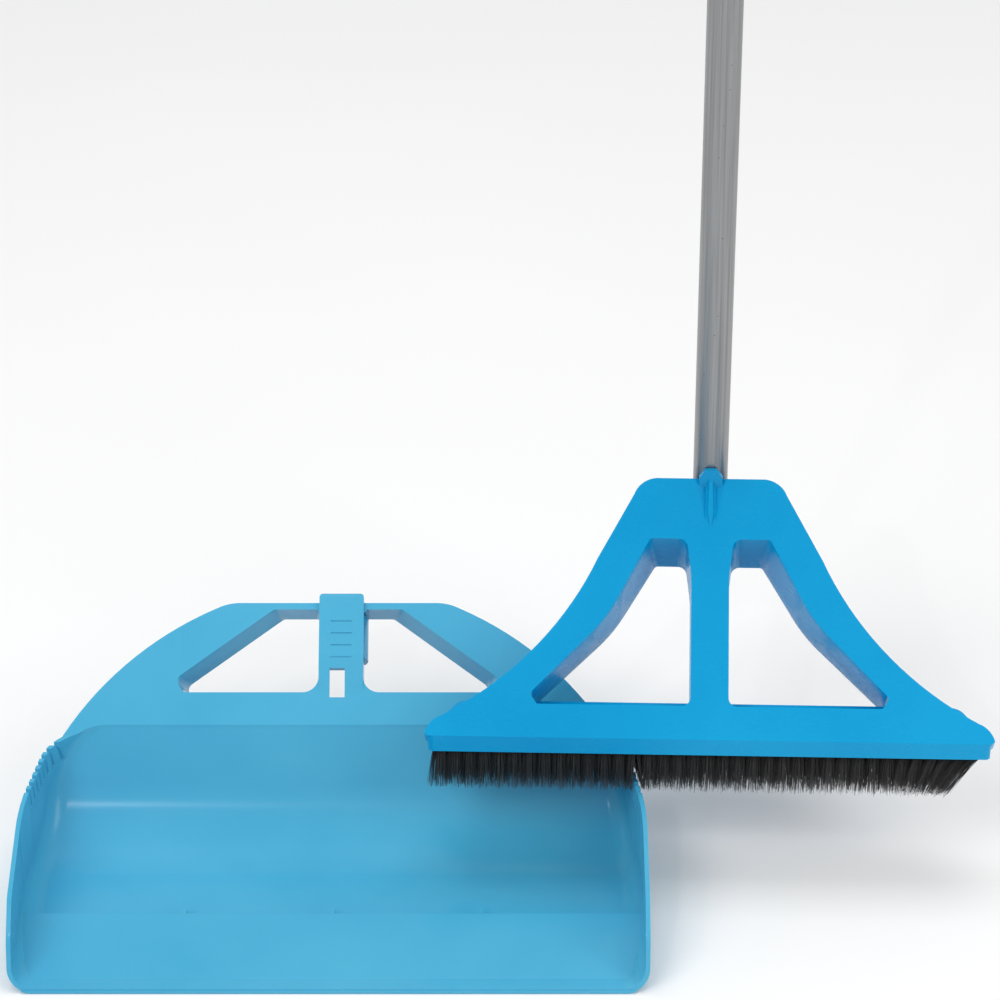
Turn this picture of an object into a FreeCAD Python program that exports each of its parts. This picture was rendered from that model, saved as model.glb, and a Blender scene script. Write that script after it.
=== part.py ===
import FreeCAD, Part
import math
import os

# Dust pan and brush set. +X to the right of someone facing the lip, +Y to the back, +Z up.
# The origin is the middle of the pan's flat underside. All sizes are in millimetres.

doc = FreeCAD.newDocument("DustPanAndBrush")
sheet = doc.addObject("Spreadsheet::Sheet", "Sizes")

SIZES = [
    # pan
    ("pan_width", 340.0), ("pan_wall", 2.4), ("pan_under", 100.0), ("pan_corner", 13.0),
    ("lip_thick", 1.2), ("ramp_depth", 58.0), ("ramp_height", 8.5), ("ramp_skin", 1.8),
    ("back_radius", 55.0), ("back_angle", 62.0), ("crease_height", 60.0),
    ("cheek_taper", 13.0), ("cheek_bend", 150.0), ("back_corner", 36.0),
    ("rim_height", 56.0), ("rim_front", 44.0), ("rim_start", 26.0), ("cheek_end", 90.0),
    ("comb_start", 105.0), ("comb_pitch", 6.2), ("comb_slot", 1.7), ("comb_depth", 13.0),
    ("comb_mouth", 3.6), ("comb_count", 8.0),
    ("edge_rib_width", 2.6), ("edge_rib_depth", 6.0), ("edge_rib_pitch", 80.0),
    ("foot_thick", 2.6), ("foot_spacing", 88.0), ("foot_gap", 2.0),
    ("handle_angle", 38.0), ("handle_length", 70.6), ("handle_top_half", 56.0),
    ("handle_flange", 18.0), ("handle_skin", 2.4), ("handle_skirt", 13.0),
    ("handle_inset", 15.0), ("handle_waist", 51.5), ("handle_shoulder", 12.0),
    ("window_low", 18.3), ("window_high", 66.8), ("window_top_half", 36.0), ("window_half", 90.0),
    ("window_tip", 8.0), ("window_draft", 5.0),
    ("strut_half", 12.4), ("strut_shift", 2.0), ("strut_proud", 3.0), ("strut_top", 76.0),
    ("strut_wrap", 4.5), ("strut_slot_width", 8.4), ("strut_slot_low", 15.4), ("strut_slot_high", 31.8),
    ("groove_first", 37.5), ("groove_pitch", 7.0), ("groove_count", 4.0), ("groove_length", 11.5),
    ("groove_width", 0.8), ("groove_depth", 0.5),
    # clip behind the strut
    ("clip_wall", 3.2), ("clip_length", 25.0), ("clip_low", 41.0), ("clip_mouth", 13.5),
    ("clip_grip", 0.05), ("clip_foot_width", 16.0), ("clip_foot_thick", 3.0), ("clip_gap", 0.1),
    ("clip_lead", 1.8), ("clip_shift", 4.0), ("clip_bay", 0.6), ("pole_way_gap", 0.6),
    # pole
    ("pole_x", 207.0), ("pole_y", 232.0), ("broom_turn", -1.6),
    ("lower_diameter", 19.05), ("lower_wall", 0.5), ("lower_length", 520.0),
    ("upper_diameter", 16.0), ("upper_wall", 0.5), ("upper_length", 520.0), ("upper_overlap", 200.0),
    ("fit_gap", 0.05), ("slide_gap", 0.05),
    # head
    ("head_width", 308.0), ("block_depth", 34.0), ("block_height", 10.3), ("block_low", 77.3),
    ("block_corner", 9.0), ("block_front_corner", 3.0), ("block_taper", 18.0),
    ("head_reach", 124.0), ("head_angle", 40.0), ("head_length", 148.4),
    ("head_thick", 32.0), ("head_skin", 2.6), ("head_wall", 2.4), ("head_top_half", 36.0),
    ("head_waist", 96.3), ("head_waist_rise", 49.3), ("head_shoulder", 61.5), ("head_shoulder_rise", 102.0),
    ("head_corner_ease", 1.6), ("head_tip", 9.0), ("head_tip_rise", 11.5),
    ("head_bar", 18.7), ("head_window_top", 113.6), ("head_strut_half", 10.3),
    ("head_window_half", 97.5), ("head_window_top_half", 33.0), ("head_window_mid", 56.0),
    ("head_window_mid_rise", 68.0), ("head_window_drop", 6.5), ("head_window_draft", 3.5),
    ("socket_wall", 3.2), ("socket_depth", 42.0), ("socket_top", 168.0), ("web_thick", 5.0),
    ("crown_half", 6.4), ("crown_height", 6.5), ("crown_thick", 3.0),
    ("ridge_length", 27.0), ("ridge_half", 2.9), ("ridge_proud", 1.8), ("flute_half", 10.0),
    ("flute_depth", 2.0), ("flute_share", 0.9),
    # bristles
    ("tuft_diameter", 6.4), ("tuft_pitch", 8.1), ("tuft_margin", 1.9), ("row_count", 4.0),
    ("row_pitch", 7.6), ("tuft_clear", 20.0), ("tuft_seat", 6.0),
    ("anchor_thick", 0.5), ("anchor_height", 1.6), ("anchor_width", 3.0),
    # ferrule, lock and upper pole fittings
    ("ferrule_length", 40.0), ("ferrule_flange", 2.0), ("sleeve_length", 34.0), ("sleeve_wall", 2.4),
    ("sleeve_cover", 22.0), ("nut_length", 40.0), ("nut_wall", 2.4), ("nut_cover", 18.0), ("nut_gap", 0.35),
    ("bush_length", 30.0), ("grip_length", 110.0), ("grip_wall", 3.6), ("cap_height", 42.0),
    ("cap_half", 10.5), ("cap_thick", 8.0), ("hang_radius", 4.5), ("hang_drop", 14.0), ("cap_plug", 20.0),
]

for index, (alias, value) in enumerate(SIZES):
    cell = "B%d" % (index + 1)
    sheet.set("A%d" % (index + 1), alias)
    sheet.set(cell, str(value))
    sheet.setAlias(cell, alias)
doc.recompute()


def size(alias):
    return float(sheet.get(alias))


def rad(alias):
    return math.radians(size(alias))


def vec(x, y, z=0.0):
    return FreeCAD.Vector(x, y, z)


def rounded(points, to_vector):
    """Closed face: straight sides with tangent arcs at the corners. Points are (u, v, radius)."""
    total = len(points)
    ends = []
    for i in range(total):
        before = to_vector(*points[i - 1][:2])
        corner = to_vector(*points[i][:2])
        after = to_vector(*points[(i + 1) % total][:2])
        radius = points[i][2]
        one = (before - corner).normalize()
        two = (after - corner).normalize()
        half = one.getAngle(two) / 2.0
        back = radius / math.tan(half)
        middle = (one + two).normalize()
        bulge = radius / math.sin(half) - radius
        ends.append((corner + one * back, corner + middle * bulge, corner + two * back, radius))
    edges = []
    for i in range(total):
        start, mid, stop, radius = ends[i]
        if radius > 0:
            edges.append(Part.Arc(start, mid, stop).toShape())
        following = ends[(i + 1) % total][0]
        if stop.distanceToPoint(following) > 0.001:
            edges.append(Part.LineSegment(stop, following).toShape())
    return Part.Face(Part.Wire(edges))


def flat(u, v):
    return vec(u, v, 0)


def side(u, v):
    return vec(0, u, v)


def upright(u, v):
    return vec(u, 0, v)


def across(face, width):
    """A side-view face made into a solid that is centred on X = 0."""
    solid = face.extrude(vec(width, 0, 0))
    solid.translate(vec(-width / 2.0, 0, 0))
    return solid


def mirrored(shape):
    return shape.mirror(vec(0, 0, 0), vec(1, 0, 0))


def feature(label, shape, placement):
    item = doc.addObject("Part::Feature", label)
    item.Label = label
    item.Shape = shape
    item.Placement = placement.multiply(shape.Placement)
    return item


PAN_PLACE = FreeCAD.Placement(vec(0, -size("pan_under") / 2.0, 0), FreeCAD.Rotation())
BROOM_PLACE = FreeCAD.Placement(
    vec(size("pole_x"), size("pole_y") - size("pan_under") / 2.0, 0),
    FreeCAD.Rotation(vec(0, 0, 1), size("broom_turn")))


# ---------------------------------------------------------------- pan
def back_points(inset):
    """Start and end of the curved back, then its top at the crease, for a skin this far in."""
    angle = rad("back_angle")
    radius = size("back_radius") - inset
    centre_y = size("pan_under")
    centre_z = size("back_radius")
    end = (centre_y + radius * math.sin(angle), centre_z - radius * math.cos(angle))
    mid = (centre_y + radius * math.sin(angle / 2.0), centre_z - radius * math.cos(angle / 2.0))
    rise = size("crease_height") - end[1]
    top = (end[0] + rise / math.tan(angle), size("crease_height"))
    return (centre_y, inset), mid, end, top


def side_solid(inset, top_points, width):
    """The scoop's side view, closed over the top by the given points, as a wide solid."""
    start, mid, end, top = back_points(inset)
    floor_start = side(top_points[-1][0], inset)
    edges = [
        Part.LineSegment(floor_start, side(*start)).toShape(),
        Part.Arc(side(*start), side(*mid), side(*end)).toShape(),
        Part.LineSegment(side(*end), side(*top)).toShape(),
    ]
    corner = side(*top)
    for point in top_points:
        edges.append(Part.LineSegment(corner, side(*point)).toShape())
        corner = side(*point)
    edges.append(Part.LineSegment(corner, floor_start).toShape())
    return across(Part.Face(Part.Wire(edges)), width)


def plan_solid(inset, front, height):
    """The scoop's plan: straight cheeks that curve in to the back corners."""
    half = size("pan_width") / 2.0 - inset
    crease = back_points(size("pan_wall"))[3][0] + size("pan_wall") - inset
    waist = half - size("cheek_taper")
    bend = size("cheek_bend") - inset
    corner = size("back_corner") - inset
    cheek = size("cheek_end")
    points = [(-half, front, 0), (half, front, 0), (half, cheek, bend), (waist, crease, corner),
              (-waist, crease, corner), (-half, cheek, bend)]
    return rounded(points, flat).extrude(vec(0, 0, height))


def rounded_floor(solid, radius, low):
    """Rounds the edges where the floor and back meet the cheeks."""
    chosen = []
    reach = back_points(size("pan_wall"))[3][0]
    for edge in solid.Edges:
        box = edge.BoundBox
        middle = edge.valueAt((edge.FirstParameter + edge.LastParameter) / 2.0)
        lowest = box.ZMin < size("crease_height") - 1.0
        on_side = abs(middle.x) > size("pan_width") / 2.0 - 60.0
        upright = box.ZLength > 30.0 and box.YLength < 0.5
        across_front = box.YMax < 0.1 or box.ZMin > size("crease_height")
        skin = abs(skin_height(middle.y, low) - middle.z) < 0.6
        if lowest and on_side and skin and not upright and not across_front and middle.y < reach:
            chosen.append(edge)
    return solid.makeFillet(radius, chosen)


def skin_height(y, inset):
    """Height of the floor-and-back skin at this depth."""
    start, mid, end, top = back_points(inset)
    if y <= start[0]:
        return inset
    if y <= end[0]:
        radius = size("back_radius") - inset
        return size("back_radius") - math.sqrt(max(radius ** 2 - (y - start[0]) ** 2, 0.0))
    return end[1] + (y - end[0]) * math.tan(rad("back_angle"))


def rim_cutter():
    """Everything above the cheeks' top edge, seen from the side."""
    start = size("rim_start")
    high = size("crease_height") + 60.0
    points = [
        (-5.0, size("lip_thick"), 0), (1.0, size("lip_thick"), 0),
        (9.0, size("rim_front") * 0.62, 20.0), (start, size("rim_front"), 12.0),
        (size("comb_start"), size("rim_height"), 60.0),
        (back_points(0)[3][0] + 30.0, size("rim_height") + 1.0, 0),
        (back_points(0)[3][0] + 30.0, high, 0), (-5.0, high, 0),
    ]
    return across(rounded(points, side), size("pan_width") + 20.0)


def comb_cutter():
    """One slot of the comb, through one cheek, open at the top with an eased mouth."""
    slot = size("comb_slot") / 2.0
    mouth = size("comb_mouth") / 2.0
    low = -size("comb_depth")
    ease = 3.2
    points = [(-slot, low, slot * 0.98), (slot, low, slot * 0.98), (slot, -ease, 1.0),
              (mouth, 1.5, 0), (-mouth, 1.5, 0), (-slot, -ease, 1.0)]
    solid = rounded(points, side).extrude(vec(40.0, 0, 0))
    solid.rotate(vec(0, 0, 0), vec(1, 0, 0), 12.0)
    return solid


def to_handle(shape):
    """From the handle plate's own plane to its place behind the scoop."""
    shape.rotate(vec(0, 0, 0), vec(1, 0, 0), size("handle_angle"))
    crease = back_points(size("pan_wall"))[3]
    shape.translate(vec(0, crease[0], crease[1]))
    return shape


def slab(face, low, high):
    solid = face.extrude(vec(0, 0, high - low))
    solid.translate(vec(0, 0, low))
    return solid


def tapered(window, depth, grow):
    """A window's plug from the plate's face to the flange's back edge, made larger by grow."""
    wires = []
    for face, height in zip(window, (0.0, -depth)):
        wire = face.OuterWire.makeOffset2D(grow) if grow > 0 else face.OuterWire.copy()
        wire.translate(vec(0, 0, height))
        wires.append(wire)
    return Part.makeLoft(wires, True, True)


def flanged(outline, windows, depth, skin, wall):
    """A plate with a return flange round its outline and round each window.

    A window is a pair of faces: its outline in the plate's face and at the flange's back edge."""
    plate = slab(outline, -skin, 0)
    inner = Part.Face(outline.OuterWire.makeOffset2D(-wall))
    rim = slab(outline, -depth, 0).cut(slab(inner, -depth - 1.0, 1.0))
    solid = plate.fuse(rim)
    for window in windows:
        solid = solid.fuse(tapered(window, depth, wall).common(slab(outline, -depth, 0)))
    for window in windows:
        solid = solid.cut(tapered(window, depth, 0.0))
    return solid.removeSplitter()


def pan_outline():
    half = size("pan_width") / 2.0 - size("handle_inset")
    low = -size("handle_skirt")
    top = size("handle_length")
    high = size("handle_top_half")
    wide = (size("pan_width") / 2.0 - size("handle_waist"), (low + top) / 2.0 + 5.0)
    neck = (high + size("handle_shoulder"), top - 3.2)
    edges = [
        Part.LineSegment(flat(-half, low), flat(half, low)).toShape(),
        Part.Arc(flat(half, low), flat(*wide), flat(*neck)).toShape(),
        Part.Arc(flat(*neck), flat(high + 6.0, top - 0.9), flat(high, top)).toShape(),
        Part.LineSegment(flat(high, top), flat(-high, top)).toShape(),
        Part.Arc(flat(-high, top), flat(-high - 6.0, top - 0.9), flat(-neck[0], neck[1])).toShape(),
        Part.Arc(flat(-neck[0], neck[1]), flat(-wide[0], wide[1]), flat(-half, low)).toShape(),
    ]
    return Part.Face(Part.Wire(edges))


def pan_window(sign):
    """One handle window: its outline in the plate's face and, drawn in by the draft, at the back."""
    strut = size("strut_half") * sign + size("strut_shift")
    low = size("window_low")
    high = size("window_high")
    faces = []
    for draft in (0.0, size("window_draft")):
        tip = (size("window_half") - draft) * sign
        top = (size("window_top_half") - draft) * sign
        points = [(strut, low, 9.0), (strut, high, 2.0), (top, high, 4.0),
                  (tip, low + size("window_tip"), 4.5), (tip - 4.0 * sign, low, 3.0)]
        faces.append(rounded(points, flat))
    return faces


def build_strut():
    """The strut between the windows, flush at its foot and wrapped over the handle's top edge."""
    half = size("strut_half")
    low = size("window_low")
    top = size("strut_top")
    skin = size("handle_skin")
    wrap = size("strut_wrap")
    edge = size("handle_length") - 1.0
    face = rounded([(-half, low, 0), (half, low, 0), (half, top, 3.0), (-half, top, 3.0)], flat)
    solid = slab(face, -wrap, size("strut_proud"))
    profile = rounded([
        (low, -skin, 0), (low, 0.0, 0), (low + 20.0, size("strut_proud"), 25.0),
        (top, size("strut_proud"), 3.0), (top, -wrap, 0), (edge, -wrap, 0), (edge, -skin, 0)], side)
    solid = solid.common(across(profile, 2.0 * half + 2.0))
    for i in range(int(size("groove_count"))):
        groove = Part.makeBox(size("groove_length"), size("groove_width"), 2.0 * size("groove_depth"))
        groove.translate(vec(-size("groove_length") / 2.0, size("groove_first") + i * size("groove_pitch"),
                             size("strut_proud") - size("groove_depth")))
        solid = solid.cut(groove)
    solid.translate(vec(size("strut_shift"), 0, 0))
    return solid


def clip_bay():
    """Clears the windows' flanges away from the pole clip."""
    half = clip_radius() + size("clip_bay")
    length = size("clip_length") + 2.0 * size("clip_bay")
    box = Part.makeBox(2.0 * half, length, 60.0)
    box.translate(vec(size("clip_shift") - half, size("clip_low") - size("clip_bay"),
                      -size("handle_skin") - 60.0))
    return box


def clip_bore():
    return size("lower_diameter") / 2.0 - size("clip_grip")


def clip_radius():
    return clip_bore() + size("clip_wall")


def clip_centre():
    """How far the clip's axis lies from the handle plate's face."""
    return -size("handle_skin") - size("clip_gap") - size("clip_foot_thick") - clip_bore()


def pole_way():
    """The notch in the handle's top flange that lets the pole lie in the clip."""
    radius = size("lower_diameter") / 2.0 + size("pole_way_gap")
    low = size("clip_low")
    length = size("strut_top") - low + 4.0
    way = Part.makeCylinder(radius, length, vec(0, low, clip_centre()), vec(0, 1, 0))
    below = Part.makeBox(2.0 * radius, length, 40.0)
    below.translate(vec(-radius, low, clip_centre() - 40.0))
    way = way.fuse(below)
    way.translate(vec(size("clip_shift"), 0, 0))
    return way


def build_pan():
    wall = size("pan_wall")
    width = size("pan_width") + 20.0
    far = back_points(0)[3][0] + 30.0
    high = size("crease_height")
    body = side_solid(0.0, [(far - 40.0, high + 14.0), (0.0, high + 14.0)], width)
    outer = rounded_floor(body.common(plan_solid(0.0, 0.0, high + 14.0)), size("pan_corner"), 0.0)
    hollow = side_solid(wall, [(back_points(wall)[3][0], high + 90.0), (-10.0, high + 90.0)], width)
    hollow = hollow.common(plan_solid(wall, -10.0, high + 90.0))
    hollow = rounded_floor(hollow, size("pan_corner") - wall, wall)
    handle = to_handle(flanged(pan_outline(), [pan_window(1), pan_window(-1)],
                               size("handle_flange"), size("handle_skin"), wall))
    strut = to_handle(build_strut())
    ramp = across(rounded([(0.0, 0.0, 0), (size("ramp_depth"), 0.0, 0),
                           (size("ramp_depth"), size("ramp_height"), 0),
                           (0.0, size("lip_thick"), 0)], side), width)
    under = across(rounded([(14.0, -1.0, 0), (size("ramp_depth") - 2.0, -1.0, 0),
                            (size("ramp_depth") - 2.0, size("ramp_height") - size("ramp_skin") - 0.3, 0),
                            (14.0, 1.3, 0)], side), size("pan_width") - 40.0)
    shell = outer.cut(rim_cutter()).fuse([handle.common(behind_hollow()), strut])
    shell = shell.cut(hollow)
    shell = shell.fuse(ramp.common(outer)).cut(under)
    for i in (-1, 0, 1):
        rib = Part.makeBox(size("edge_rib_width"), size("edge_rib_depth") + 0.5, size("ramp_height") - 0.3)
        rib.translate(vec(i * size("edge_rib_pitch") - size("edge_rib_width") / 2.0,
                          size("ramp_depth") - 0.5, 0.3))
        shell = shell.fuse(rib)
    for i in (-1.5, -0.5, 0.5, 1.5):
        shell = shell.fuse(foot(i * size("foot_spacing")))
    for i in range(int(size("comb_count"))):
        cutter = comb_cutter()
        cutter.translate(vec(size("pan_width") / 2.0 - 34.0, size("comb_start") + i * size("comb_pitch"),
                             size("rim_height")))
        shell = shell.cut([cutter, mirrored(cutter)])
    slot = Part.makeBox(size("strut_slot_width"), size("strut_slot_high") - size("strut_slot_low"), 40.0)
    slot.translate(vec(-size("strut_slot_width") / 2.0, size("strut_slot_low"), -30.0))
    shell = shell.cut([to_handle(slot), to_handle(clip_bay()), to_handle(pole_way())])
    return shell.removeSplitter()


def behind_hollow():
    """Keeps the handle plate's flange above the bench and behind the lip."""
    box = Part.makeBox(size("pan_width") + 40.0, 300.0, 300.0)
    box.translate(vec(-size("pan_width") / 2.0 - 20.0, size("cheek_end"), size("foot_gap")))
    return box


def foot(x):
    """A rib under the curved back that the pan rests on."""
    start, mid, end, top = back_points(0.0)
    inner = 0.8
    edges = [
        Part.LineSegment(side(start[0] - 4.0, 0), side(top[0] + 2.0, 0)).toShape(),
        Part.LineSegment(side(top[0] + 2.0, 0), side(top[0] + 1.0, top[1] - 6.0)).toShape(),
        Part.LineSegment(side(top[0] + 1.0, top[1] - 6.0), side(end[0] - inner, end[1] + inner)).toShape(),
        Part.Arc(side(end[0] - inner, end[1] + inner), side(mid[0] - inner, mid[1] + inner),
                 side(start[0] - 4.0, inner)).toShape(),
        Part.LineSegment(side(start[0] - 4.0, inner), side(start[0] - 4.0, 0)).toShape(),
    ]
    solid = Part.Face(Part.Wire(edges)).extrude(vec(size("foot_thick"), 0, 0))
    solid.translate(vec(x - size("foot_thick") / 2.0, 0, 0))
    return solid


feature("pan_shell", build_pan(), PAN_PLACE)


# ---------------------------------------------------------------- pole clip on the pan
def build_clip():
    """A C-shaped clip that grips the lower pole, with a foot that seats behind the strut."""
    bore = clip_bore()
    outer = clip_radius()
    foot_back = -size("handle_skin") - size("clip_gap")
    centre = clip_centre()
    length = size("clip_length")
    low = size("clip_low")
    ring = Part.makeCylinder(outer, length, vec(0, low, centre), vec(0, 1, 0))
    thick = size("clip_foot_thick") + 2.0
    base = Part.makeBox(size("clip_foot_width"), length, thick)
    base.translate(vec(-size("clip_foot_width") / 2.0, low, foot_back - thick))
    solid = ring.fuse(base)
    solid = solid.cut(Part.makeCylinder(bore, length + 2.0, vec(0, low - 1.0, centre), vec(0, 1, 0)))
    mouth = Part.makeBox(size("clip_mouth"), length + 2.0, outer + 1.0)
    mouth.translate(vec(-size("clip_mouth") / 2.0, low - 1.0, centre - outer - 1.0))
    solid = solid.cut(mouth)
    for sign in (-1, 1):
        lead_x = sign * (size("clip_mouth") / 2.0 + size("clip_lead") - 0.2)
        lead = Part.makeCylinder(size("clip_lead"), length, vec(lead_x, low, centre - bore * 0.78),
                                 vec(0, 1, 0))
        solid = solid.fuse(lead)
    front = Part.makeBox(60.0, 200.0, 60.0)
    front.translate(vec(-30.0, -20.0, foot_back))
    solid = solid.cut(front).removeSplitter()
    solid.translate(vec(size("clip_shift"), 0, 0))
    return to_handle(solid)


feature("pole_clip", build_clip(), PAN_PLACE)


# ---------------------------------------------------------------- broom head
def to_head(shape):
    """From the head plate's own plane to its place in front of the pole."""
    shape.rotate(vec(0, 0, 0), vec(1, 0, 0), size("head_angle"))
    shape.translate(vec(0, -size("head_reach"), size("block_low") + size("block_height")))
    return shape


def head_outline():
    half = size("head_width") / 2.0
    top = size("head_length")
    high = size("head_top_half")
    tip = (half - size("head_tip"), size("head_tip_rise"))
    waist = (size("head_waist"), size("head_waist_rise"))
    shoulder = (size("head_shoulder"), size("head_shoulder_rise"))
    ease = size("head_corner_ease")
    right = [
        Part.LineSegment(flat(half - ease, 0), flat(half, ease)).toShape(),
        Part.Arc(flat(half, ease), flat(half - 3.0, 7.4), flat(*tip)).toShape(),
        Part.Arc(flat(*tip), flat(*waist), flat(*shoulder)).toShape(),
        Part.LineSegment(flat(*shoulder), flat(high + 6.0, top - 9.5)).toShape(),
        Part.Arc(flat(high + 6.0, top - 9.5), flat(high + 0.6, top - 2.4), flat(high - 6.0, top)).toShape(),
    ]
    left = [mirrored(edge) for edge in right]
    edges = right + left
    edges.append(Part.LineSegment(flat(-half + ease, 0), flat(half - ease, 0)).toShape())
    edges.append(Part.LineSegment(flat(high - 6.0, top), flat(-high + 6.0, top)).toShape())
    return Part.Face(Part.Wire(Part.__sortEdges__(edges)))


def head_window(sign):
    """One head window: its outline in the plate's face and, drawn in by the draft, at the back."""
    strut = size("head_strut_half")
    low = size("head_bar")
    faces = []
    for drop, draft in ((0.0, 0.0), (size("head_window_drop"), size("head_window_draft"))):
        high = size("head_window_top") - drop
        tip = size("head_window_half") - draft / 3.0
        points = [(strut, low, 5.0), (strut, high - 20.0, 60.0), (strut + 2.6, high, 5.0),
                  (size("head_window_top_half") - draft, high, 2.5),
                  (size("head_window_mid") - draft, size("head_window_mid_rise"), 90.0),
                  (tip, low + 6.0, 3.0), (tip - 4.0, low, 1.2)]
        faces.append(rounded([(u * sign, v, radius) for u, v, radius in points], flat))
    return faces


def build_head():
    """Block, leaning plate with two windows, crown and socket, as one moulding."""
    half = size("head_width") / 2.0
    plate = to_head(flanged(head_outline(), [head_window(1), head_window(-1)],
                            size("head_thick"), size("head_skin"), size("head_wall")))
    low = size("block_low")
    keep = Part.makeBox(400.0, 400.0, 400.0)
    keep.translate(vec(-200.0, -size("head_reach"), low))
    plate = plate.common(keep)
    rear = half - size("block_taper")
    corner = size("block_corner")
    front = size("block_front_corner")
    block = rounded([(-half, 0, front), (half, 0, front), (rear, size("block_depth"), corner),
                     (-rear, size("block_depth"), corner)], flat)
    block = block.extrude(vec(0, 0, size("block_height")))
    block.translate(vec(0, -size("head_reach"), low))
    radius = size("lower_diameter") / 2.0 + size("fit_gap")
    outer = radius + size("socket_wall")
    top = size("socket_top")
    floor = top - size("socket_depth")
    socket = Part.makeCylinder(outer, size("socket_depth") + 3.0, vec(0, 0, floor - 3.0))
    web = Part.makeBox(size("web_thick"), 80.0, 60.0)
    web.translate(vec(-size("web_thick") / 2.0, -70.0, floor - 3.0))
    skin_back = Part.makeBox(80.0, size("head_length") - 2.0, 90.0)
    skin_back.translate(vec(-40.0, 1.0, -90.0))
    web = web.common(to_head(skin_back))
    head = plate.fuse([block, socket, web]).cut(flutes()).fuse([crown(), ridge()])
    head = head.cut(Part.makeCylinder(radius, 80.0, vec(0, 0, floor)))
    head = head.cut(tuft_seats())
    return head.removeSplitter()


def crown():
    """The arched lug that stands up in front of the pole."""
    half = size("crown_half")
    rise = size("crown_height")
    face = rounded([(-half, -10.0, 0), (half, -10.0, 0), (half, 2.0, 2.0), (half * 0.5, rise, 2.2),
                    (-half * 0.5, rise, 2.2), (-half, 2.0, 2.0)], upright)
    solid = face.extrude(vec(0, size("crown_thick"), 0))
    gap = size("lower_diameter") / 2.0 + size("fit_gap") + 0.2
    top_z = size("block_low") + size("block_height") + size("head_length") * math.sin(rad("head_angle"))
    solid.translate(vec(0, -gap - size("crown_thick"), top_z))
    return solid


def section(points, along):
    """Closed outline across the head plate, at this distance up it."""
    corners = [vec(u, along, v) for u, v in points]
    return Part.makePolygon(corners + corners[:1])


def ridge():
    """The leaf-shaped rib that runs down the plate's face from the crown to a point."""
    top = size("head_length") - 1.0
    low = top - size("ridge_length")
    half = size("ridge_half")
    proud = size("ridge_proud")
    crest = 1.3 * proud
    sections = [
        section([(-0.6 * half, -1.0), (0.6 * half, -1.0), (0.3 * half, crest), (-0.3 * half, crest)], top),
        section([(-half, -1.0), (half, -1.0), (0.5 * half, proud), (-0.5 * half, proud)], low + 8.0),
        section([(-1.0, -1.0), (1.0, -1.0), (0.5, 0.1), (-0.5, 0.1)], low),
    ]
    return to_head(Part.makeLoft(sections, True, True))


def flutes():
    """Two hollows beside the ridge that run out down the plate."""
    top = size("head_length") + 0.5
    low = top - size("flute_share") * size("ridge_length")
    inner = 0.7 * size("ridge_half")
    wide = [(inner, 0.5), (size("flute_half"), 0.5), (1.6 * inner, -size("flute_depth"))]
    narrow = [(1.3 * inner, 0.5), (1.9 * inner, 0.5), (1.5 * inner, -0.1)]
    flute = Part.makeLoft([section(narrow, low), section(wide, top)], True, True)
    return [to_head(mirrored(flute)), to_head(flute)]


def tuft_places(row):
    """Centres of one row's tufts, as many as the tapered block has room for, staggered by row."""
    back = size("block_depth") / 2.0 + (row - (size("row_count") - 1) / 2.0) * size("row_pitch")
    half = size("head_width") / 2.0 - size("block_taper") * back / size("block_depth")
    room = 2.0 * (half - size("tuft_margin") - size("tuft_diameter") / 2.0)
    count = int(room / size("tuft_pitch")) + 1
    count -= (count + row + 1) % 2
    first = -(count - 1) / 2.0 * size("tuft_pitch")
    return [(first + i * size("tuft_pitch"), back - size("head_reach")) for i in range(count)]


def tuft_seats():
    radius = size("tuft_diameter") / 2.0 + size("fit_gap")
    seats = []
    for row in range(int(size("row_count"))):
        for x, y in tuft_places(row):
            foot_of_seat = vec(x, y, size("block_low") - 1.0)
            seats.append(Part.makeCylinder(radius, size("tuft_seat") + 1.0, foot_of_seat))
    return seats


feature("head_frame", build_head(), BROOM_PLACE)


# ---------------------------------------------------------------- bristles and their anchors
def build_row(row):
    seat = size("tuft_seat") - size("anchor_height") - size("fit_gap")
    low = size("block_low") - size("tuft_clear")
    tufts = [Part.makeCylinder(size("tuft_diameter") / 2.0, size("tuft_clear") + seat, vec(x, y, low))
             for x, y in tuft_places(row)]
    return Part.makeCompound(tufts)


def build_anchors():
    pieces = []
    top = size("block_low") + size("tuft_seat")
    for row in range(int(size("row_count"))):
        for x, y in tuft_places(row):
            piece = Part.makeBox(size("anchor_width"), size("anchor_thick"), size("anchor_height"))
            piece.translate(vec(x - size("anchor_width") / 2.0, y - size("anchor_thick") / 2.0,
                                top - size("anchor_height")))
            pieces.append(piece)
    return Part.makeCompound(pieces)


for number in range(int(size("row_count"))):
    feature("bristle_row_%d" % (number + 1), build_row(number), BROOM_PLACE)
feature("tuft_anchors", build_anchors(), BROOM_PLACE)


# ---------------------------------------------------------------- pole and its fittings
def cylinder(name, radius, height, z):
    item = doc.addObject("Part::Cylinder", name)
    item.setExpression("Radius", radius)
    item.setExpression("Height", height)
    item.setExpression("Placement.Base.z", z)
    return item


def tool(kind, name, base, other):
    item = doc.addObject(kind, name)
    item.Base = base
    item.Tool = other
    return item


def named(item, label):
    item.Label = label
    item.Placement = BROOM_PLACE
    return item


S = "Sizes."
POLE_LOW = "(Sizes.socket_top - Sizes.socket_depth + Sizes.ferrule_flange)"
POLE_TOP = "(%s + Sizes.lower_length)" % POLE_LOW
BORE = "(Sizes.lower_diameter / 2 - Sizes.lower_wall)"
UPPER_LOW = "(%s - Sizes.upper_overlap)" % POLE_TOP
UPPER_TOP = "(%s + Sizes.upper_length)" % UPPER_LOW
UPPER_BORE = "(Sizes.upper_diameter / 2 - Sizes.upper_wall)"


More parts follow.
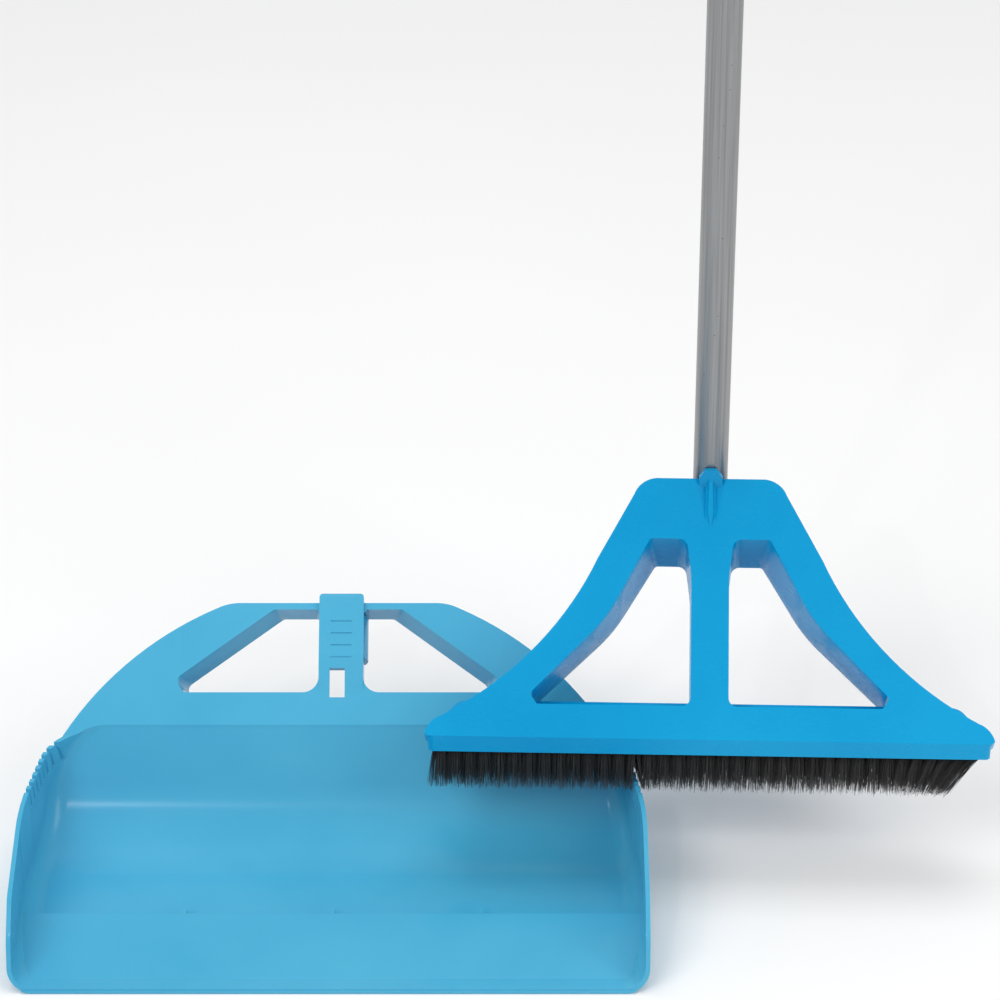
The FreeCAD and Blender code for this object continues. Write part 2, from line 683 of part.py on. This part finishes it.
def tube(label, outer, inner, length, z):
    body = cylinder(label + "_outer", outer, length, z)
    bore = cylinder(label + "_bore", inner, length + " + 2", z + " - 1")
    return named(tool("Part::Cut", label + "_cut", body, bore), label)


tube("lower_tube", S + "lower_diameter / 2", BORE, S + "lower_length", POLE_LOW)
tube("upper_tube", S + "upper_diameter / 2", UPPER_BORE, S + "upper_length", UPPER_LOW)

# the ferrule plugs the lower tube's end and seats on the socket's floor
plug = cylinder("ferrule_plug", BORE + " - Sizes.fit_gap", S + "ferrule_length", POLE_LOW)
flange = cylinder("ferrule_foot", S + "lower_diameter / 2 - Sizes.fit_gap", S + "ferrule_flange",
                  "Sizes.socket_top - Sizes.socket_depth")
ferrule_solid = tool("Part::Fuse", "ferrule_fuse", plug, flange)
core = cylinder("ferrule_core", BORE + " - 3", S + "ferrule_length", POLE_LOW + " + 4")
named(tool("Part::Cut", "ferrule_cut", ferrule_solid, core), "pole_ferrule")

# the lock sleeve sits over the lower tube's top and closes round the upper tube above it
SLEEVE_LOW = "(%s - Sizes.sleeve_cover)" % POLE_TOP
sleeve_body = cylinder("sleeve_body", "Sizes.lower_diameter / 2 + Sizes.fit_gap + Sizes.sleeve_wall",
                       "Sizes.sleeve_length", SLEEVE_LOW)
sleeve_bore = cylinder("sleeve_bore", "Sizes.lower_diameter / 2 + Sizes.fit_gap",
                       "Sizes.sleeve_cover + 1", SLEEVE_LOW + " - 1")
sleeve_neck = cylinder("sleeve_neck", "Sizes.upper_diameter / 2 + Sizes.slide_gap",
                       "Sizes.sleeve_length + 2", SLEEVE_LOW + " - 1")
sleeve_first = tool("Part::Cut", "sleeve_first", sleeve_body, sleeve_bore)
named(tool("Part::Cut", "sleeve_cut", sleeve_first, sleeve_neck), "lock_sleeve")

# the twist nut turns on the sleeve
NUT_LOW = "(%s - Sizes.nut_cover)" % POLE_TOP
NUT_BORE = "Sizes.lower_diameter / 2 + Sizes.fit_gap + Sizes.sleeve_wall + Sizes.slide_gap"
nut_body = cylinder("nut_body", NUT_BORE + " + Sizes.nut_wall", "Sizes.nut_length", NUT_LOW)
NUT_DEEP = "Sizes.sleeve_length - Sizes.sleeve_cover + Sizes.nut_cover + Sizes.nut_gap"
nut_bore = cylinder("nut_bore", NUT_BORE, NUT_DEEP + " + 1", NUT_LOW + " - 1")
nut_neck = cylinder("nut_neck", "Sizes.upper_diameter / 2 + Sizes.nut_gap", "Sizes.nut_length + 2",
                    NUT_LOW + " - 1")
nut_first = tool("Part::Cut", "nut_first", nut_body, nut_bore)
named(tool("Part::Cut", "nut_cut", nut_first, nut_neck), "lock_nut")

# the guide bush on the upper tube's lower end runs inside the lower tube
bush_body = cylinder("bush_body", BORE + " - Sizes.slide_gap", "Sizes.bush_length", UPPER_LOW + " - 4")
bush_bore = cylinder("bush_bore", "Sizes.upper_diameter / 2 + Sizes.fit_gap", "Sizes.bush_length",
                     UPPER_LOW)
bush_hole = cylinder("bush_hole", UPPER_BORE + " - 1.5", "Sizes.bush_length + 2", UPPER_LOW + " - 5")
bush_first = tool("Part::Cut", "bush_first", bush_body, bush_bore)
named(tool("Part::Cut", "bush_cut", bush_first, bush_hole), "guide_bush")

# the grip slides over the upper tube's top
GRIP_LOW = "(%s - Sizes.grip_length)" % UPPER_TOP
grip_body = cylinder("grip_body", "Sizes.upper_diameter / 2 + Sizes.fit_gap + Sizes.grip_wall",
                     "Sizes.grip_length", GRIP_LOW)
grip_bore = cylinder("grip_bore", "Sizes.upper_diameter / 2 + Sizes.fit_gap", "Sizes.grip_length + 2",
                     GRIP_LOW + " - 1")
named(tool("Part::Cut", "grip_cut", grip_body, grip_bore), "hand_grip")


def build_cap():
    """End cap: a plug in the upper tube, a round shoulder and a flat tab with a hanging hole."""
    base = 0.0
    plug_radius = size("upper_diameter") / 2.0 - size("upper_wall") - size("fit_gap")
    shoulder = size("upper_diameter") / 2.0 + size("fit_gap") + size("grip_wall")
    solid = Part.makeCylinder(plug_radius, size("cap_plug"), vec(0, 0, base - size("cap_plug")))
    solid = solid.fuse(Part.makeCylinder(shoulder, 4.0, vec(0, 0, base)))
    half = size("cap_half")
    face = rounded([(-half, 3.0, 0), (half, 3.0, 0), (half * 0.75, size("cap_height"), half * 0.6),
                    (-half * 0.75, size("cap_height"), half * 0.6)], upright)
    tab = face.extrude(vec(0, size("cap_thick"), 0))
    tab.translate(vec(0, -size("cap_thick") / 2.0, 0))
    solid = solid.fuse(tab)
    hole_place = vec(0, -20.0, size("cap_height") - size("hang_drop"))
    hole = Part.makeCylinder(size("hang_radius"), 40.0, hole_place, vec(0, 1, 0))
    solid = solid.cut(hole).removeSplitter()
    height = (size("socket_top") - size("socket_depth") + size("ferrule_flange") + size("lower_length")
              - size("upper_overlap") + size("upper_length"))
    solid.translate(vec(0, 0, height))
    return solid


feature("end_cap", build_cap(), BROOM_PLACE)

# ---------------------------------------------------------------- check and write
doc.recompute()
PARTS = ["pan_shell", "pole_clip", "head_frame", "tuft_anchors", "lower_tube", "upper_tube",
         "pole_ferrule", "lock_sleeve", "lock_nut", "guide_bush", "hand_grip", "end_cap"]
PARTS += ["bristle_row_%d" % (i + 1) for i in range(int(size("row_count")))]

for item in doc.Objects:
    for word in ("Invalid", "Error"):
        if word in item.State:
            raise RuntimeError("%s is %s" % (item.Name, item.State))

os.makedirs("parts", exist_ok=True)
for label in PARTS:
    item = doc.getObjectsByLabel(label)[0]
    shape = item.Shape
    if shape.isNull() or not shape.isValid():
        raise RuntimeError("%s has no valid shape" % label)
    print(label, len(shape.Solids), round(shape.Volume / 1000.0, 2))
for label in PARTS:
    doc.getObjectsByLabel(label)[0].Shape.exportStep("parts/%s.step" % label)
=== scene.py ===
import bpy
import math
import random
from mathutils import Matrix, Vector


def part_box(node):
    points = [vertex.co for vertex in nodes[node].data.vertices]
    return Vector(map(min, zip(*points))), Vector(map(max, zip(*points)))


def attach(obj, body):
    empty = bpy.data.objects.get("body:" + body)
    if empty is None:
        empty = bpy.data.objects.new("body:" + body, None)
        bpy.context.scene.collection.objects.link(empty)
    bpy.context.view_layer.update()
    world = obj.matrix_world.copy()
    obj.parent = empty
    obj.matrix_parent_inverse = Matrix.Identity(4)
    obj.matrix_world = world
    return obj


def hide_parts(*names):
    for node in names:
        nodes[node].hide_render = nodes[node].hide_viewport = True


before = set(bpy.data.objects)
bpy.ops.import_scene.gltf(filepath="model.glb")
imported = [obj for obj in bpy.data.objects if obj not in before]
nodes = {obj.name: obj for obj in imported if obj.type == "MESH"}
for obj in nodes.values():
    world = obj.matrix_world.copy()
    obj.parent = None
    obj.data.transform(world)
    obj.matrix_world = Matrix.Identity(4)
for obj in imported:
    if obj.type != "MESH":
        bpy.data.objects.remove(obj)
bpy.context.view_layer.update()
mm = 0.001

panLow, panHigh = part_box("pan_shell")
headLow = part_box("head_frame")[0]
tubeLow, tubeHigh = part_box("lower_tube")
nutLow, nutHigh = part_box("lock_nut")
gripLow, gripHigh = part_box("hand_grip")
poleX = (tubeLow.x + tubeHigh.x) / 2
poleY = (tubeLow.y + tubeHigh.y) / 2


# small helpers for node materials
def newMaterial(name):
    mat = bpy.data.materials.new(name)
    mat.use_nodes = True
    tree = mat.node_tree
    return mat, tree, tree.nodes["Principled BSDF"]


def addNoise(tree, scale, detail=4.0, stretch=None, rough=0.55):
    coords = tree.nodes.new("ShaderNodeTexCoord")
    noiseNode = tree.nodes.new("ShaderNodeTexNoise")
    noiseNode.inputs["Scale"].default_value = scale
    noiseNode.inputs["Detail"].default_value = detail
    noiseNode.inputs["Roughness"].default_value = rough
    if stretch:
        mapping = tree.nodes.new("ShaderNodeMapping")
        mapping.inputs["Scale"].default_value = stretch
        tree.links.new(coords.outputs["Object"], mapping.inputs["Vector"])
        tree.links.new(mapping.outputs["Vector"], noiseNode.inputs["Vector"])
    else:
        tree.links.new(coords.outputs["Object"], noiseNode.inputs["Vector"])
    return noiseNode.outputs["Fac"]


def addRamp(tree, source, stops):
    ramp = tree.nodes.new("ShaderNodeValToRGB")
    tree.links.new(source, ramp.inputs["Fac"])
    first, last = ramp.color_ramp.elements[0], ramp.color_ramp.elements[1]
    first.position, last.position = stops[0][0], stops[-1][0]
    first.color, last.color = (*stops[0][1], 1), (*stops[-1][1], 1)
    for place, colour in stops[1:-1]:
        ramp.color_ramp.elements.new(place).color = (*colour, 1)
    return ramp.outputs["Color"]


def addRange(tree, source, low, high):
    spread = tree.nodes.new("ShaderNodeMapRange")
    spread.inputs["To Min"].default_value = low
    spread.inputs["To Max"].default_value = high
    tree.links.new(source, spread.inputs["Value"])
    return spread.outputs["Result"]


def addBump(tree, shader, source, strength, distance):
    bump = tree.nodes.new("ShaderNodeBump")
    bump.inputs["Strength"].default_value = strength
    bump.inputs["Distance"].default_value = distance
    tree.links.new(source, bump.inputs["Height"])
    tree.links.new(bump.outputs["Normal"], shader.inputs["Normal"])


# glossy moulded plastic: cloudy tint, uneven gloss, faint flow waviness
def mouldedPlastic(name, look):
    mat, tree, shader = newMaterial(name)
    cloud = addNoise(tree, look["cloud"], 3.0)
    tint = addRamp(tree, cloud, [(0.3, look["dark"]), (0.7, look["light"])])
    tree.links.new(tint, shader.inputs["Base Color"])
    scuff = addNoise(tree, look["scuff"], 6.0, look["scuffStretch"])
    tree.links.new(addRange(tree, scuff, *look["gloss"]), shader.inputs["Roughness"])
    grain = addNoise(tree, look["grain"], 2.0)
    addBump(tree, shader, grain, look["bump"], look["bumpDepth"])
    shader.inputs["IOR"].default_value = look["index"]
    shader.inputs["Subsurface Weight"].default_value = look["glow"]
    shader.inputs["Subsurface Radius"].default_value = look["glowTint"]
    shader.inputs["Subsurface Scale"].default_value = look["glowDepth"]
    return mat


panPlasticLook = {
    "dark": (0.056, 0.385, 0.610), "light": (0.078, 0.430, 0.655), "cloud": 9.0,
    "scuff": 30.0, "scuffStretch": (1, 3, 1), "gloss": (0.14, 0.24), "grain": 70.0,
    "bump": 0.04, "bumpDepth": 0.0004, "index": 1.38,
    "glow": 0.12, "glowTint": (0.1, 0.6, 1.0), "glowDepth": 0.004,
}
headPlasticLook = {
    "dark": (0.001, 0.300, 0.600), "light": (0.004, 0.345, 0.660), "cloud": 10.0,
    "scuff": 40.0, "scuffStretch": (1, 2, 2), "gloss": (0.22, 0.34), "grain": 90.0,
    "bump": 0.04, "bumpDepth": 0.0004, "index": 1.27,
    "glow": 0.10, "glowTint": (0.1, 0.6, 1.0), "glowDepth": 0.004,
}


poleLook = {
    "dark": (0.23, 0.235, 0.24), "light": (0.36, 0.365, 0.37), "lines": 60.0,
    "lineStretch": (12, 12, 0.15), "specks": 420.0, "speckTint": (0.35, 0.32, 0.3),
    "gloss": (0.30, 0.42), "bump": 0.06, "bumpDepth": 0.0002, "metal": 0.85,
}


# satin coated tube: drawn lines along its length and a few tiny specks
def poleSteel():
    look = poleLook
    mat, tree, shader = newMaterial("poleSteel")
    lines = addNoise(tree, look["lines"], 5.0, look["lineStretch"])
    tint = addRamp(tree, lines, [(0.3, look["dark"]), (0.7, look["light"])])
    specks = addNoise(tree, look["specks"], 1.0)
    mask = addRamp(tree, specks, [(0.0, (1, 1, 1)), (0.77, (1, 1, 1)), (0.81, look["speckTint"])])
    mix = tree.nodes.new("ShaderNodeMix")
    mix.data_type = "RGBA"
    mix.blend_type = "MULTIPLY"
    mix.inputs["Factor"].default_value = 1.0
    tree.links.new(tint, mix.inputs["A"])
    tree.links.new(mask, mix.inputs["B"])
    tree.links.new(mix.outputs["Result"], shader.inputs["Base Color"])
    tree.links.new(addRange(tree, lines, *look["gloss"]), shader.inputs["Roughness"])
    addBump(tree, shader, lines, look["bump"], look["bumpDepth"])
    shader.inputs["Metallic"].default_value = look["metal"]
    return mat


fittingLooks = {
    "greyFitting": {"dark": (0.20, 0.205, 0.21), "light": (0.27, 0.275, 0.28),
                    "gloss": (0.42, 0.58), "metal": 0.0},
    "blackFitting": {"dark": (0.018, 0.018, 0.02), "light": (0.034, 0.034, 0.037),
                     "gloss": (0.42, 0.58), "metal": 0.0},
    "gripRubber": {"dark": (0.014, 0.014, 0.015), "light": (0.028, 0.028, 0.03),
                   "gloss": (0.6, 0.78), "metal": 0.0},
    "anchorSteel": {"dark": (0.40, 0.40, 0.40), "light": (0.52, 0.52, 0.52),
                    "gloss": (0.25, 0.4), "metal": 1.0},
}
fittingGrain = {"fine": 900.0, "wide": 40.0, "bump": 0.25, "bumpDepth": 0.0001}


# fine spark-eroded texture on small fittings
def dullFinish(name):
    look = fittingLooks[name]
    mat, tree, shader = newMaterial(name)
    fine = addNoise(tree, fittingGrain["fine"], 3.0)
    wide = addNoise(tree, fittingGrain["wide"], 3.0)
    tint = addRamp(tree, wide, [(0.3, look["dark"]), (0.7, look["light"])])
    tree.links.new(tint, shader.inputs["Base Color"])
    tree.links.new(addRange(tree, fine, *look["gloss"]), shader.inputs["Roughness"])
    addBump(tree, shader, fine, fittingGrain["bump"], fittingGrain["bumpDepth"])
    shader.inputs["Metallic"].default_value = look["metal"]
    return mat


fibreLook = {
    "dark": (0.003, 0.0026, 0.0026), "light": (0.016, 0.013, 0.012), "streak": 500.0,
    "streakStretch": (1, 1, 0.05), "gloss": (0.38, 0.55), "sheen": 0.15,
}


# near-black synthetic fibre with faint brown streaks along it
def bristleBlack():
    look = fibreLook
    mat, tree, shader = newMaterial("bristleBlack")
    streak = addNoise(tree, look["streak"], 2.0, look["streakStretch"])
    tint = addRamp(tree, streak, [(0.35, look["dark"]), (0.75, look["light"])])
    tree.links.new(tint, shader.inputs["Base Color"])
    tree.links.new(addRange(tree, streak, *look["gloss"]), shader.inputs["Roughness"])
    shader.inputs["Sheen Weight"].default_value = look["sheen"]
    return mat


panBlue = mouldedPlastic("panBlue", panPlasticLook)
headBlue = mouldedPlastic("headBlue", headPlasticLook)
steel = poleSteel()
greyFitting = dullFinish("greyFitting")
blackFitting = dullFinish("blackFitting")
gripRubber = dullFinish("gripRubber")
anchorSteel = dullFinish("anchorSteel")
bristle = bristleBlack()


# carried-over hard parts: soft edges and their own finish
edgeSoftness = {"pan_shell": 0.55, "pole_clip": 0.35, "head_frame": 0.9, "end_cap": 0.8,
                "lock_sleeve": 0.3, "pole_ferrule": 0.3, "guide_bush": 0.2}  # bevel widths in mm
weldGap = 0.02  # mm
sharpAngle = 38  # degrees


def softEdges(obj, width):
    weld = obj.modifiers.new("weld", "WELD")
    weld.merge_threshold = weldGap * mm
    bevel = obj.modifiers.new("edge", "BEVEL")
    bevel.width = width * mm
    bevel.segments = 3
    bevel.limit_method = "ANGLE"
    bevel.angle_limit = math.radians(sharpAngle)
    bevel.use_clamp_overlap = True
    bevel.harden_normals = True


def finishNode(name, mat):
    obj = nodes[name]
    obj.data.materials.clear()
    obj.data.materials.append(mat)
    if name in edgeSoftness:
        softEdges(obj, edgeSoftness[name])


for nodeName, mat in (("pan_shell", panBlue), ("pole_clip", panBlue), ("head_frame", headBlue),
                      ("end_cap", headBlue), ("lower_tube", steel), ("upper_tube", steel),
                      ("pole_ferrule", greyFitting), ("lock_sleeve", greyFitting),
                      ("guide_bush", greyFitting), ("tuft_anchors", anchorSteel)):
    finishNode(nodeName, mat)
print("hard parts finished")


# meshes from lists
def meshObject(name, verts, faces, mat, smooth=True):
    mesh = bpy.data.meshes.new(name)
    mesh.from_pydata(verts, [], faces)
    mesh.materials.append(mat)
    if smooth:
        mesh.polygons.foreach_set("use_smooth", [True] * len(mesh.polygons))
    mesh.update()
    obj = bpy.data.objects.new(name, mesh)
    bpy.context.scene.collection.objects.link(obj)
    return obj


# bristles: every tuft is a bundle of thin tapered strands
bristleLook = {
    "perTuft": 120, "thick": 0.21, "root": 3.3, "splay": 2.2, "sunk": 0.6, "wander": 0.45,
    "drop": 5.0, "uneven": (-1.6, 0.5),  # how far the tips hang below the row, and how unevenly
    "leanRight": 20.0, "leanRightFrom": 92.0, "leanRightOver": 58.0,
    "leanLeft": -1.5, "leanLeftFrom": 135.0, "leanLeftOver": 15.0,
    "part": 2.6, "partFrom": 3.8, "partUneven": 1.6,
    "stray": 0.006, "strayAside": 5, "strayDeep": 4,
}
fibreShape = {"steps": 3, "bend": 0.9, "taper": 0.6}
headTurn = math.radians(-1.6)
tuftGap = 6.8 * mm  # points closer than this along the head belong to one tuft


def alongHead(x, y):
    dx, dy = x - poleX, y - poleY
    return dx * math.cos(headTurn) + dy * math.sin(headTurn)


# the pan's right cheek, in mm from its lip and from its outer side
cheekShape = {"wall": 1.2, "straight": 78, "curveIn": 13.5, "curve": 1.5, "combFrom": 100, "combTo": 158}
combLow = panLow.y + cheekShape["combFrom"] * mm
combHigh = panLow.y + cheekShape["combTo"] * mm


# where the middle of the cheek lies at this depth: straight, then curving in
def cheekLine(y):
    along = max(0.0, (y - panLow.y) / mm - cheekShape["straight"])
    inward = cheekShape["curveIn"] * (along / cheekShape["straight"]) ** cheekShape["curve"]
    return panHigh.x - (cheekShape["wall"] + inward) * mm


# centres of the tufts, read from the row's own solids
def tuftCentres(name):
    obj = nodes[name]
    top = max(v.co.z for v in obj.data.vertices)
    upper = [v.co for v in obj.data.vertices if v.co.z > top - 0.1 * mm]
    ring = sorted({(round(co.x, 5), round(co.y, 5)) for co in upper})
    groups = []
    for point in ring:
        for group in groups:
            if abs(point[0] - group[0][0]) < tuftGap:
                group.append(point)
                break
        else:
            groups.append([point])
    centres = []
    for group in groups:
        xs = [p[0] for p in group]
        ys = [p[1] for p in group]
        centres.append(((min(xs) + max(xs)) / 2, (min(ys) + max(ys)) / 2))
    return centres


# sideways lean of the tips in mm: the right end has taken a set, the left end flares a little
def leanOf(along):
    look = bristleLook
    if along > look["leanRightFrom"]:
        return -look["leanRight"] * ((along - look["leanRightFrom"]) / look["leanRightOver"]) ** 1.5
    if along < -look["leanLeftFrom"]:
        return look["leanLeft"] * (-along - look["leanLeftFrom"]) / look["leanLeftOver"]
    return 0.0


# one thin three-sided fibre that bows from its root to its tip
def strand(verts, faces, root, tip, radius, spin):
    base = len(verts)
    steps = fibreShape["steps"]
    for i in range(steps + 1):
        t = i / steps
        bow = t ** fibreShape["bend"]
        x = root[0] + (tip[0] - root[0]) * bow
        y = root[1] + (tip[1] - root[1]) * bow
        z = root[2] + (tip[2] - root[2]) * t
        r = radius * (1 - fibreShape["taper"] * t)
        for j in range(3):
            a = spin + j * 2 * math.pi / 3
            verts.append((x + r * math.cos(a), y + r * math.sin(a), z))
    for i in range(steps):
        for j in range(3):
            a, b = base + i * 3 + j, base + i * 3 + (j + 1) % 3
            faces.append((a, b, b + 3, a + 3))
    last = base + steps * 3
    faces.append((base + 2, base + 1, base))
    faces.append((last, last + 1, last + 2))


# pushes a tip off the comb, so that the fibres part round it as its teeth run through them
def partedTip(x, y, rng):
    look = bristleLook
    offset = x - cheekLine(y)
    if y < combLow or y > combHigh or abs(offset) > look["partFrom"] * mm:
        return x
    side = 1 if offset >= 0 else -1
    return cheekLine(y) + side * (look["part"] + rng.uniform(0.0, look["partUneven"])) * mm


def bristleRow(number):
    name = "bristle_row_%d" % number
    rng = random.Random(40 + number)
    look = bristleLook
    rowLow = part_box(name)[0]
    topZ = headLow.z + look["sunk"] * mm
    verts, faces = [], []
    for cx, cy in tuftCentres(name):
        for _ in range(look["perTuft"]):
            spin = rng.uniform(0, 2 * math.pi)
            out = math.sqrt(rng.random())
            rootX = cx + out * look["root"] * mm * math.cos(spin)
            rootY = cy + out * look["root"] * mm * math.sin(spin)
            spread = look["splay"] * out * mm
            along = alongHead(rootX, rootY) / mm
            tipX = rootX + spread * math.cos(spin) + (leanOf(along) + rng.gauss(0, look["wander"])) * mm
            tipY = rootY + spread * math.sin(spin) + rng.gauss(0, look["wander"]) * mm
            tipZ = rowLow.z - (look["drop"] + rng.uniform(*look["uneven"])) * mm
            if rng.random() < look["stray"]:
                tipX += rng.uniform(-look["strayAside"], look["strayAside"]) * mm
                tipY += rng.uniform(-look["strayDeep"], look["strayDeep"]) * mm
            tipX = partedTip(tipX, tipY, rng)
            strand(verts, faces, (rootX, rootY, topZ), (tipX, tipY, tipZ), look["thick"] * mm, spin)
    row = meshObject("bristles%d" % number, verts, faces, bristle)
    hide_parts(name)
    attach(row, "broom")


for rowNumber in (1, 2, 3, 4):
    bristleRow(rowNumber)
print("bristles made")


# turned pieces with a rippled outline
# profile is (radius, height) pairs in metres; ripple(angle, index) adds to the radius
def turned(name, profile, mat, around=72, ripple=None):
    verts, faces = [], []
    count = len(profile)
    for j in range(around):
        a = 2 * math.pi * j / around
        for i, (r, z) in enumerate(profile):
            grow = ripple(a, i) if ripple else 0.0
            verts.append((poleX + (r + grow) * math.cos(a), poleY + (r + grow) * math.sin(a), z))
    for j in range(around):
        k = (j + 1) % around
        for i in range(count):
            n = (i + 1) % count
            faces.append((j * count + i, k * count + i, k * count + n, j * count + n))
    return meshObject(name, verts, faces, mat)


gripLook = {"ringCount": 16, "ringDepth": 0.75, "endRound": 2.5, "plainLow": 9, "plainHigh": 16}


def handGrip():
    outer = (gripHigh.x - gripLow.x) / 2
    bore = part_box("upper_tube")[1].x - poleX + 0.05 * mm
    low, high = gripLow.z, gripHigh.z
    end = gripLook["endRound"] * mm
    profile = [(bore, low), (outer - end, low), (outer - end * 0.3, low + end * 0.3), (outer, low + end)]
    first, last = low + gripLook["plainLow"] * mm, high - gripLook["plainHigh"] * mm
    steps = gripLook["ringCount"] * 8
    for i in range(steps + 1):
        t = i / steps
        dip = 0.5 - 0.5 * math.cos(2 * math.pi * t * gripLook["ringCount"])
        profile.append((outer - gripLook["ringDepth"] * mm * dip, first + (last - first) * t))
    profile += [(outer, high - end), (outer - end * 0.3, high - end * 0.3), (outer - end, high), (bore, high)]
    grip = turned("handGrip", profile, gripRubber)
    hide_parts("hand_grip")
    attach(grip, "upper_pole")


nutLook = {"ribs": 18, "ribDepth": 0.8, "ribStart": 3.2, "ribShort": 12, "ribSteps": 14}


def lockNut():
    outer = (nutHigh.x - nutLow.x) / 2
    bore = (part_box("lock_sleeve")[1].x - poleX) + 0.05 * mm
    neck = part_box("upper_tube")[1].x - poleX + 0.35 * mm
    low, high = nutLow.z, nutHigh.z
    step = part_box("lock_sleeve")[1].z + 0.3 * mm
    profile = [(bore, low), (outer - 1.4 * mm, low), (outer - 0.5 * mm, low + 0.5 * mm)]
    profile.append((outer, low + 1.6 * mm))
    body = len(profile)
    tall = high - low
    for i in range(nutLook["ribSteps"] + 1):
        rise = (tall - nutLook["ribShort"] * mm) * i / nutLook["ribSteps"]
        profile.append((outer, low + nutLook["ribStart"] * mm + rise))
    ribEnd = len(profile)
    profile += [(outer - 0.3 * mm, high - 7.0 * mm), (outer - 2.0 * mm, high - 2.0 * mm),
                (outer - 3.6 * mm, high - 0.4 * mm), (outer - 4.4 * mm, high), (neck, high),
                (neck, step), (bore, step)]

    def ribs(angle, index):
        if not body <= index < ribEnd:
            return 0.0
        ease = min(1.0, (index - body + 1) / 3.0, (ribEnd - index) / 3.0)
        wave = math.cos(angle * nutLook["ribs"])
        return -nutLook["ribDepth"] * mm * ease * (0.5 - 0.5 * wave) ** 2

    nut = turned("lockNut", profile, blackFitting, 144, ribs)
    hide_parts("lock_nut")
    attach(nut, "twist_nut")


handGrip()
lockNut()
print("grip and nut made")


# stage, light and camera
stageLook = {"half": 6.0, "below": 0.2, "dark": 0.93, "light": 0.95, "sky": 0.55}


def paleFloor():
    mat, tree, shader = newMaterial("paleFloor")
    soft = addNoise(tree, 2.0, 2.0)
    tint = addRamp(tree, soft, [(0.3, (stageLook["dark"],) * 3), (0.7, (stageLook["light"],) * 3)])
    tree.links.new(tint, shader.inputs["Base Color"])
    shader.inputs["Roughness"].default_value = 0.9
    shader.inputs["Specular IOR Level"].default_value = 0.1
    return mat


def makeStage():
    half = stageLook["half"]
    corners = [(-half, -half, 0), (half, -half, 0), (half, half, 0), (-half, half, 0)]
    floor = meshObject("floor", corners, [(0, 1, 2, 3)], paleFloor(), False)
    floor.location.z = panLow.z - stageLook["below"] * mm
    world = bpy.data.worlds.new("studio")
    bpy.context.scene.world = world
    world.use_nodes = True
    world.node_tree.nodes["Background"].inputs["Color"].default_value = (1, 1, 1, 1)
    world.node_tree.nodes["Background"].inputs["Strength"].default_value = stageLook["sky"]
    bpy.context.scene.view_settings.view_transform = "Standard"  # keeps the plastics' full colour


def areaLight(name, place, target, size, power, mirrored):
    data = bpy.data.lights.new(name, "AREA")
    data.shape = "RECTANGLE"
    data.size, data.size_y = size
    data.energy = power
    lamp = bpy.data.objects.new(name, data)
    lamp.location = place
    lamp.rotation_euler = (Vector(target) - Vector(place)).to_track_quat("-Z", "Y").to_euler()
    lamp.visible_glossy = mirrored
    bpy.context.scene.collection.objects.link(lamp)


cameraLook = {"tilt": 32.1, "lens": 148.3, "away": 2.178, "right": 0.0906, "lift": 0.2611, "lip": -0.050}


def makeCamera():
    tilt = math.radians(cameraLook["tilt"])
    forward = Vector((0, math.cos(tilt), -math.sin(tilt)))
    upward = Vector((0, math.sin(tilt), math.cos(tilt)))
    data = bpy.data.cameras.new("camera")
    data.lens = cameraLook["lens"]
    data.sensor_width = 36
    data.clip_end = 50
    cam = bpy.data.objects.new("camera", data)
    start = Vector((cameraLook["right"], cameraLook["lip"], 0))
    cam.location = start - forward * cameraLook["away"] + upward * cameraLook["lift"]
    cam.rotation_euler = (math.radians(90) - tilt, 0, 0)
    bpy.context.scene.collection.objects.link(cam)
    bpy.context.scene.camera = cam


# place, target, size, power, and whether the lamp shows in reflections
lampLook = {
    "keyLight": ((-1.2, -1.2, 2.0), (0.05, 0.05, 0.1), (1.2, 1.2), 18, False),
    "fillLight": ((1.7, -0.9, 1.4), (0.1, 0.05, 0.1), (1.0, 1.4), 10, True),
    "topLight": ((0.1, 0.7, 2.4), (0.1, 0.05, 0.1), (2.0, 1.0), 18, False),
    "glintLight": ((-0.27, -1.06, 1.12), (-0.1, 0.09, 0.03), (0.05, 0.02), 1.1, True),
}

makeStage()
for lampName, lampValues in lampLook.items():
    areaLight(lampName, *lampValues)
makeCamera()
print("stage, light and camera made")
